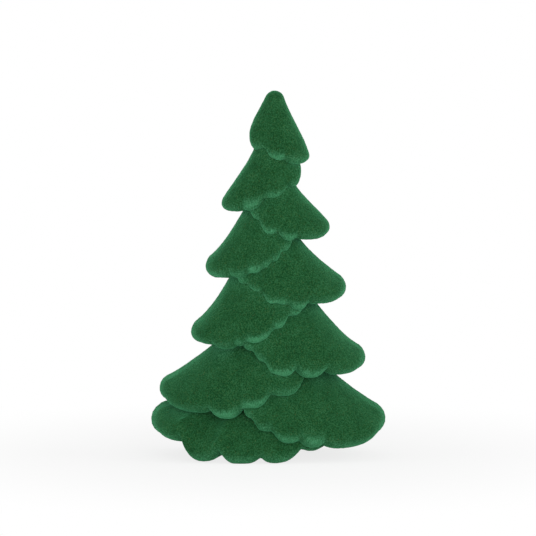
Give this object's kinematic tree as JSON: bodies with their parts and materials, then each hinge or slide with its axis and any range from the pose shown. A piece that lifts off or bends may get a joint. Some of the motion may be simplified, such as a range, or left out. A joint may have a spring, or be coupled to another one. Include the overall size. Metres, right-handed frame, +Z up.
{
  "type": "flocked table tree",
  "caption": "Free-standing stylised fir tree: flocked moulded hoods with scalloped lips, nested on a hidden dowel over a weighted base plate.",
  "frame": {"origin": "on the table, at the middle of the tree's bounding box", "axes": "+Z up the tree, -Y towards the front that the picture shows, +X to the right in that view"},
  "size_m": [0.1532, 0.0868, 0.24],
  "materials": {
    "green_flock": "matte",
    "pale_wood": "matte",
    "fibre_board": "matte",
    "zinc_steel": "satin",
    "green_felt": "matte"
  },
  "bodies": {
    "root": {"tip_hood": "green_flock", "bough_2_left": "green_flock", "bough_3_right": "green_flock", "bough_4_left": "green_flock", "bough_5_right": "green_flock", "bough_6_left": "green_flock", "bough_7_right": "green_flock", "bough_8_left": "green_flock", "bough_9_right": "green_flock", "base_hood": "green_flock", "centre_dowel": "pale_wood", "base_plate": "fibre_board", "ballast_weight": "zinc_steel", "dowel_screw": "zinc_steel", "felt_cover": "green_felt"}
  },
  "joints": []
}
